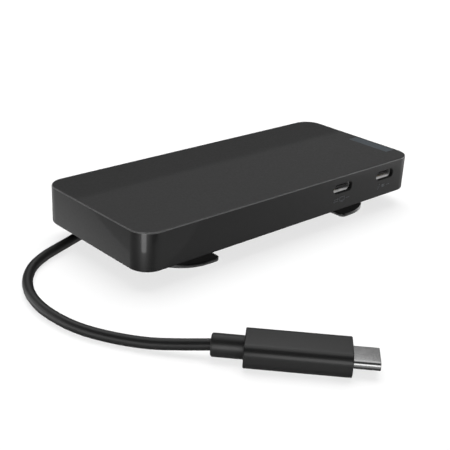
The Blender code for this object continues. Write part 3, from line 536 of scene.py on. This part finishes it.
def make_housing():
    """The moulded cover: crisp filleted rim, well rounded corners, and a window for each port."""
    length = HOUSING_LENGTH - 2 * SKIN
    width = HOUSING_WIDTH - 2 * SKIN
    top = HOUSING_TOP - SKIN
    outer = rounded_outline(rectangle(length, width, CORNER), 20)
    shell = lofted(outer, fillet_profile(HOUSING_BOTTOM, top, FOOT_FILLET, TOP_FILLET))
    inner = rounded_outline(rectangle(length - 2 * WALL, width - 2 * WALL, CORNER - WALL), 12)
    cutters = [lofted(inner, [(0.0, HOUSING_BOTTOM - MM), (0.0, top - ROOF)])]
    usb_c = rounded_outline(rectangle(*USB_C_WINDOW, USB_C_WINDOW[1] * ROUND_END), 10)
    pocket = rounded_outline(rectangle(*USB_C_POCKET, USB_C_POCKET[1] * ROUND_END), 10)
    for x in USB_C_X:
        place = facing((0, -1, 0), (x, -width / 2, USB_C_Z))
        cutters.append(window_cutter(usb_c, place, USB_C_CUT))
        cutters.append(placed(lofted(pocket, [(0.0, -WINDOW_CUT), (0.0, -USB_C_LIP)]), place))
    usb_a = rounded_outline(rectangle(*USB_A_WINDOW, WINDOW_CORNER), 4)
    for outline, places in ((hdmi_outline(*HDMI_WINDOW), HDMI_X), (usb_a, USB_A_X)):
        for x in places:
            place = facing((0, 1, 0), (x, width / 2, REAR_PORT_Z))
            cutters.append(window_cutter(outline, place, WINDOW_CUT))
    lan = rounded_outline(rectangle(*LAN_WINDOW, WINDOW_CORNER), 4)
    cutters.append(window_cutter(lan, facing((1, 0, 0), (length / 2, 0, LAN_Z)), WINDOW_CUT))
    housing = piece("housing_shell", carve(shell, cutters), "housing")
    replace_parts(housing, "top_cover")


def make_name_plate():
    """The blank plate near the +X edge of the roof, standing just proud of it."""
    low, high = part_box("name_plate")
    outline = rounded_outline(box_rectangle(low, high, NAME_PLATE_CORNER), 5)
    plate = lofted(outline, fillet_profile(HOUSING_TOP - SKIN - 0.2 * MM, HOUSING_TOP - 0.2 * SKIN,
                                           0.005 * MM, 0.01 * MM, 2))
    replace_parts(piece("blank_plate", plate, "name_plate"), "name_plate")


def bar(width, height, centre, turn=0.0):
    """A small printed bar as a list of its corners, in millimetres."""
    corners = [Vector((sx * width / 2, sy * height / 2)) for sx, sy in ((-1, -1), (1, -1), (1, 1), (-1, 1))]
    spin = Matrix.Rotation(turn, 2)
    return [spin @ corner + Vector(centre) for corner in corners]


def screen_mark(left):
    """A screen on a stand, drawn with bars, from its left edge."""
    return [bar(2.4, LINE, (left + 1.2, 0.75)), bar(2.4, LINE, (left + 1.2, -0.55)),
            bar(LINE, 1.3, (left + 0.08, 0.1)), bar(LINE, 1.3, (left + 2.32, 0.1)),
            bar(LINE, 0.35, (left + 1.2, -0.75)), bar(1.2, LINE, (left + 1.2, -0.92))]


def arrow_mark(left):
    """A pair of arrows, one each way."""
    marks = []
    for side, height in ((1, 0.35), (-1, -0.35)):
        head = left + 1.2 + side * 0.9
        marks.append(bar(2.2, LINE, (left + 1.2, height)))
        marks.append(bar(0.6, LINE, (head, height + 0.2), -side * math.radians(45)))
        marks.append(bar(0.6, LINE, (head, height - 0.2), side * math.radians(45)))
    return marks


def bolt_mark(left):
    """A slanted bolt made of two strokes."""
    return [bar(0.3, 1.2, (left + 0.62, 0.42), math.radians(-24)),
            bar(0.3, 1.2, (left + 0.38, -0.42), math.radians(-24)),
            bar(0.9, 0.2, (left + 0.5, 0.0))]


def plug_mark(left):
    """A plug end: a body, two prongs and a lead."""
    return [bar(1.0, 1.1, (left + 0.9, 0.0)), bar(0.6, 0.18, (left + 1.7, 0.3)),
            bar(0.6, 0.18, (left + 1.7, -0.3)), bar(0.5, 0.18, (left + 0.15, 0.0))]


def make_printed_marks():
    """Small generic symbols printed under the two USB-C ports."""
    groups = ((USB_C_X[0], arrow_mark(-4.2) + screen_mark(-1.2) + [bar(1.6, LINE, (2.8, 0.0))]),
              (USB_C_X[1], bolt_mark(-3.2) + plug_mark(-1.4) + [bar(1.8, LINE, (2.2, 0.0))]))
    for number, (x, strokes) in enumerate(groups, 1):
        place = facing((0, -1, 0), (x, -HOUSING_WIDTH / 2 + SKIN, MARK_Z))
        bm = bmesh.new()
        for stroke in strokes:
            low = [bm.verts.new((*(corner * MM), -0.01 * MM)) for corner in stroke]
            high = [bm.verts.new((*(corner * MM), 0.5 * SKIN)) for corner in stroke]
            bm.faces.new(low[::-1])
            bm.faces.new(high)
            for index in range(4):
                after = (index + 1) % 4
                bm.faces.new((low[index], low[after], high[after], high[index]))
        piece(f"printed_marks_{number}", placed(bm, place), "print")


# --- Port contacts ----------------------------------------------------------------------

def strips_on(name, node, out, count, pitch, width, faces, reach):
    """Gold contact strips on a connector's tongue, on its upper (+1) and lower (-1) faces as asked."""
    low, high = (Vector(corner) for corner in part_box(node))
    centre = (low + high) / 2
    half = Vector(((high - low).dot(Vector((abs(out[1]), abs(out[0]), 0))), (high - low).z,
                   (high - low).dot(Vector((abs(out[0]), abs(out[1]), 0))))) / 2
    bm = bmesh.new()
    front = half.z - CONTACT_SETBACK
    for side in faces:
        level = sorted((side * (half.y - CONTACT_PROUD), side * (half.y + CONTACT_PROUD)))
        add_row(bm, count, pitch, width, level, (front - reach, front))
    piece(name, placed(bm, facing(out, centre)), "gold")


def make_lan_contacts():
    """The wires that stand side by side on the front of the network port's comb."""
    low, high = (Vector(corner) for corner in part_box("lan_contact_comb"))
    half_height = (high.z - low.z) / 2 - LAN_WIRE_MARGIN
    front = (high.x - low.x) / 2
    bm = bmesh.new()
    add_row(bm, LAN_WIRES, LAN_WIRE_PITCH, LAN_WIRE_WIDTH, (-half_height, half_height),
            (front - CONTACT_PROUD, front + CONTACT_PROUD))
    piece("lan_contacts", placed(bm, facing((1, 0, 0), (low + high) / 2)), "gold")


def make_port_contacts():
    """The contacts seen inside each port."""
    make_lan_contacts()
    for number in (1, 2):
        for port, *layout in TONGUE_CONTACTS:
            strips_on(f"{port}_contacts_{number}", f"{port}_tongue_{number}", *layout)


# --- Base -------------------------------------------------------------------------------

def make_base_plate():
    """The cord winder's lower flange, with softly rounded rims."""
    half_length = (PLATE_HIGH[0] - PLATE_LOW[0]) / 2
    half_width = (PLATE_HIGH[1] - PLATE_LOW[1]) / 2
    right = [(NOTCH_HALF_LENGTH, -NOTCH_ROOT_Y, NOTCH_ROOT), (NOTCH_HALF_LENGTH, -half_width, NOTCH_TIP),
             (half_length, -half_width, PLATE_CORNER), (half_length, half_width, PLATE_CORNER),
             (NOTCH_HALF_LENGTH, half_width, NOTCH_TIP), (NOTCH_HALF_LENGTH, NOTCH_ROOT_Y, NOTCH_ROOT)]
    outline = rounded_outline(right + [(-x, -y, radius) for x, y, radius in right], 12)
    plate = lofted(outline, fillet_profile(PLATE_LOW[2], PLATE_HIGH[2], PLATE_FILLET, PLATE_FILLET, 3))
    cutters = []
    for name in ("foot_pad_left", "foot_pad_right"):
        low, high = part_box(name)
        pad = rounded_outline(box_rectangle(low, high, PAD_POCKET_CORNER, PAD_POCKET_GROWTH), 10)
        cutters.append(lofted(pad, [(0.0, -MM), (0.0, high[2] + 0.1 * MM)]))
    for number in range(1, 5):
        low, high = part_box(f"base_screw_{number}")
        centre = ((low[0] + high[0]) / 2, (low[1] + high[1]) / 2)
        bore = rounded_outline(rectangle(BORE_DIAMETER, BORE_DIAMETER, BORE_CORNER, centre), 6)
        cutters.append(lofted(bore, [(0.0, -MM), (0.0, PLATE_LOW[2] + BORE_DEPTH)]))
    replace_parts(piece("winder_flange", carve(plate, cutters), "base"), "base_plate")


def make_foot_pads():
    """The rubber pads, with rounded lower rims."""
    for name in ("left", "right"):
        low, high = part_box(f"foot_pad_{name}")
        outline = rounded_outline(box_rectangle(low, high, PAD_CORNER), 10)
        pad = lofted(outline, fillet_profile(low[2], high[2], 0.25 * MM, 0.1 * MM, 3))
        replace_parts(piece(f"rubber_pad_{name}", pad, "rubber"), f"foot_pad_{name}")


# --- Cord and plug ----------------------------------------------------------------------

def smooth_route(route, spacing):
    """Evenly spaced points on a smooth curve through the route's points."""
    dense = []
    padded = [2 * route[0] - route[1], *route, 2 * route[-1] - route[-2]]
    for before, start, end, after in zip(padded, padded[1:], padded[2:], padded[3:]):
        for step in range(20):
            t = step / 20
            dense.append(0.5 * (2 * start + (end - before) * t
                                + (2 * before - 5 * start + 4 * end - after) * t ** 2
                                + (3 * start - before - 3 * end + after) * t ** 3))
    dense.append(route[-1])
    lengths = [0.0]
    for first, second in zip(dense, dense[1:]):
        lengths.append(lengths[-1] + (second - first).length)
    count = round(lengths[-1] / spacing)
    points = []
    index = 0
    for step in range(count + 1):
        wanted = lengths[-1] * step / count
        while index < len(dense) - 2 and lengths[index + 1] < wanted:
            index += 1
        share = (wanted - lengths[index]) / (lengths[index + 1] - lengths[index])
        points.append(dense[index].lerp(dense[index + 1], share))
    return points, lengths[-1]


def make_cord():
    """The captive cord, from its boot in the channel to the plug."""
    points, length = smooth_route(CORD_ROUTE, CORD_POINT_SPACING)
    curve = bpy.data.curves.new("cord_jacket", "CURVE")
    curve.dimensions = "3D"
    curve.bevel_depth = CORD_DIAMETER / 2
    curve.bevel_resolution = 8
    curve.use_fill_caps = True
    spline = curve.splines.new("POLY")
    spline.points.add(len(points) - 1)
    for point, place in zip(spline.points, points):
        point.co = (*place, 1)
    spline.use_smooth = True
    curve.materials.append(LOOKS["cord_rubber"])
    cord = bpy.data.objects.new("cord_jacket", curve)
    bpy.context.scene.collection.objects.link(cord)
    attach(cord, BODY)
    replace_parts(cord, "cord")
    cord.visible_glossy = False
    return cord, length


def make_plug():
    """The plug: strain relief, moulded handle, and a metal shell round its contact block."""
    place = facing((math.cos(PLUG_HEADING), math.sin(PLUG_HEADING), 0), PLUG_REAR)
    overlap = 0.9 * PLUG_GAP
    outline = rounded_outline(rectangle(2 * RELIEF_RADIUS, 2 * RELIEF_RADIUS, RELIEF_RADIUS * 0.998), 14)
    relief = lofted(outline, fillet_profile(-overlap, RELIEF_LENGTH + overlap, 0.55 * MM, 0.05 * MM))
    relief = piece("strain_relief", placed(relief, place), "cord_rubber")
    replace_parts(relief, "plug_strain_relief")

    start = RELIEF_LENGTH + PLUG_GAP
    outline = rounded_outline(rectangle(*HANDLE_SIZE, HANDLE_CORNER), 14)
    handle = lofted(outline, fillet_profile(start, start + HANDLE_LENGTH, 0.3 * MM, 0.25 * MM))
    handle = piece("plug_handle", placed(handle, place), "plug_plastic")
    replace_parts(handle, "plug_housing")

    start += HANDLE_LENGTH + PLUG_GAP
    width, height, length = PLUG_SHELL
    outline = rounded_outline(rectangle(width, height, height * 0.48), 16)
    shell = lofted(outline, fillet_profile(start - overlap, start + length, 0.02 * MM, 0.12 * MM))
    inner = (width - 2 * SHEET, height - 2 * SHEET)
    bore = rounded_outline(rectangle(*inner, inner[1] * 0.47), 14)
    lip = 0.1 * MM
    shell = carve(shell, [lofted(bore, [(0.0, start + MM), (0.0, start + length - lip),
                                        (-lip, start + length), (-lip, start + length + MM)])])
    shell = piece("plug_metal_shell", placed(shell, place), "polished_steel")
    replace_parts(shell, "plug_shell")
    block = rounded_outline(rectangle(inner[0] - BLOCK_PLAY, inner[1] - BLOCK_PLAY, BLOCK_CORNER), 6)
    block = lofted(block, fillet_profile(start + 1.2 * MM, start + length - 0.6 * MM,
                                         0.05 * MM, 0.1 * MM, 2))
    slot = rounded_outline(rectangle(*BLOCK_SLOT, 0.1 * MM), 2)
    block = carve(block, [lofted(slot, [(0.0, start + 2.5 * MM), (0.0, start + length + MM)])])
    block = piece("plug_contact_block", placed(block, place), "black_plastic")
    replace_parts(block, "plug_insert")
    contacts = bmesh.new()
    for heights in ((-PLUG_CONTACT_HIGH, -PLUG_CONTACT_LOW), (PLUG_CONTACT_LOW, PLUG_CONTACT_HIGH)):
        add_row(contacts, USB_C_CONTACTS, USB_C_PITCH, PLUG_CONTACT_WIDTH, heights,
                (start + 2.6 * MM, start + length - 0.9 * MM))
    contacts = piece("plug_contacts", placed(contacts, place), "gold")
    return [relief, handle, shell, block, contacts]


# --- Carried-over nodes -----------------------------------------------------------------

def dress_cad_nodes():
    """Gives every CAD node that still shows its material."""
    for row in frame["record"]["subparts"]:
        mesh = frame["nodes"][row["node"]].data
        port_shell = "_shell" in row["node"]
        mesh.materials.clear()
        mesh.materials.append(LOOKS["tin" if port_shell else row["material_slot"]])


# --- Studio -----------------------------------------------------------------------------

def make_floor():
    """A wide, plain, nearly white floor."""
    bm = bmesh.new()
    bmesh.ops.create_grid(bm, x_segments=1, y_segments=1, size=4)
    mesh = bpy.data.meshes.new("studio_floor")
    bm.to_mesh(mesh)
    bm.free()
    look = Look("studio_sweep", 0.9, specular=0.1)
    look.colour(look.noise(0.4, 1), grey(0.90), grey(0.91))
    mesh.materials.append(look.material)
    floor = bpy.data.objects.new("studio_floor", mesh)
    bpy.context.scene.collection.objects.link(floor)
    floor.visible_glossy = False


def softbox(name, place, target, size, radiance, lights=(), skips=(), shadows=True, gloss_only=False):
    """A rectangular area light of an even radiance, which can light, or skip, only some pieces."""
    light = bpy.data.lights.new(name, "AREA")
    light.shape = "RECTANGLE"
    light.size, light.size_y = size
    light.energy = radiance * math.pi * size[0] * size[1]
    lamp = bpy.data.objects.new(name, light)
    lamp.location = place
    lamp.rotation_euler = (Vector(target) - Vector(place)).to_track_quat("-Z", "Y").to_euler()
    lamp.visible_camera = False
    receivers = bpy.data.collections.new(f"{name}_receivers")
    for piece_name in (*lights, *skips):
        receivers.objects.link(bpy.data.objects[piece_name])
    for entry in receivers.collection_objects:
        entry.light_linking.link_state = "INCLUDE" if lights else "EXCLUDE"
    if lights or skips:
        lamp.light_linking.receiver_collection = receivers
    light.use_shadow = shadows
    light.cycles.use_multiple_importance_sampling = shadows or gloss_only
    lamp.visible_diffuse = not gloss_only
    bpy.context.scene.collection.objects.link(lamp)


def make_lamps():
    """Soft light from above, a panel behind the dock, and panels that show only as reflections."""
    floor = ("studio_floor",)
    housing = ("housing_shell",)
    ports = [f"usb_c_{part}_{number}" for part in ("shell", "tongue") for number in (1, 2)]
    softbox("overhead", (0.35, 0.4, 1.2), (0, 0, 0), (1.4, 1.4), 1.2)
    softbox("floor_lift", (0, 0, 1.5), (0, 0, 0), (6.0, 6.0), 0.985, lights=floor, shadows=False)
    softbox("rear_panel", (0.75, 1.0, 1.0), (0.75, 0, 1.0), (3.0, 1.008), 0.38, skips=floor)
    softbox("rim_light", (0.2, 0.25, 1.0), (0, 0, 0), (0.5, 0.5), 6.0, housing, gloss_only=True)
    for name, place, target, size, radiance, lights in REFLECTED:
        softbox(name, place, target, size, radiance, lights, shadows=False, gloss_only=True)
    softbox("port_light", (0.20, -0.33, 0.40), (0.03, -0.02, 0.012), (0.2, 0.2), 36.0, ports)


def make_surround():
    """A dim world that changes with height, and is darkest straight ahead of the camera."""
    world = bpy.data.worlds.new("surround")
    world.use_nodes = True
    nodes, links = world.node_tree.nodes, world.node_tree.links
    background = nodes["Background"].inputs
    surround = nodes.new("ShaderNodeTexCoord").outputs["Generated"]
    direction = nodes.new("ShaderNodeSeparateXYZ")
    links.new(surround, direction.inputs["Vector"])
    height = nodes.new("ShaderNodeMapRange")
    height.inputs["From Min"].default_value = -1.0
    links.new(direction.outputs["Z"], height.inputs["Value"])
    shade = nodes.new("ShaderNodeValToRGB")
    stops = shade.color_ramp.elements
    stops.remove(stops[1])
    for index, (position, level) in enumerate(SURROUND):
        stop = stops.new(position) if index else stops[0]
        stop.position = position
        stop.color = (*grey(level), 1)
    links.new(height.outputs["Result"], shade.inputs["Fac"])
    links.new(shade.outputs["Color"], background["Color"])
    ahead = nodes.new("ShaderNodeVectorMath")
    ahead.operation = "DOT_PRODUCT"
    ahead.inputs[1].default_value = bpy.context.scene.camera.matrix_world.to_3x3() @ Vector((0, 0, -1))
    links.new(surround, ahead.inputs[0])
    dimming = nodes.new("ShaderNodeMapRange")
    for name, value in zip(("From Min", "From Max", "To Min", "To Max"), DIMMING_AHEAD):
        dimming.inputs[name].default_value = value
    links.new(ahead.outputs["Value"], dimming.inputs["Value"])
    links.new(dimming.outputs["Result"], background["Strength"])
    bpy.context.scene.world = world
    bpy.context.scene.view_settings.view_transform = "Standard"


make_camera()
LOOKS = make_looks()
dress_cad_nodes()
cord, cord_length = make_cord()
plug_pieces = make_plug()
make_housing()
make_name_plate()
make_printed_marks()
make_port_contacts()
make_base_plate()
make_foot_pads()
make_floor()
make_lamps()
make_surround()
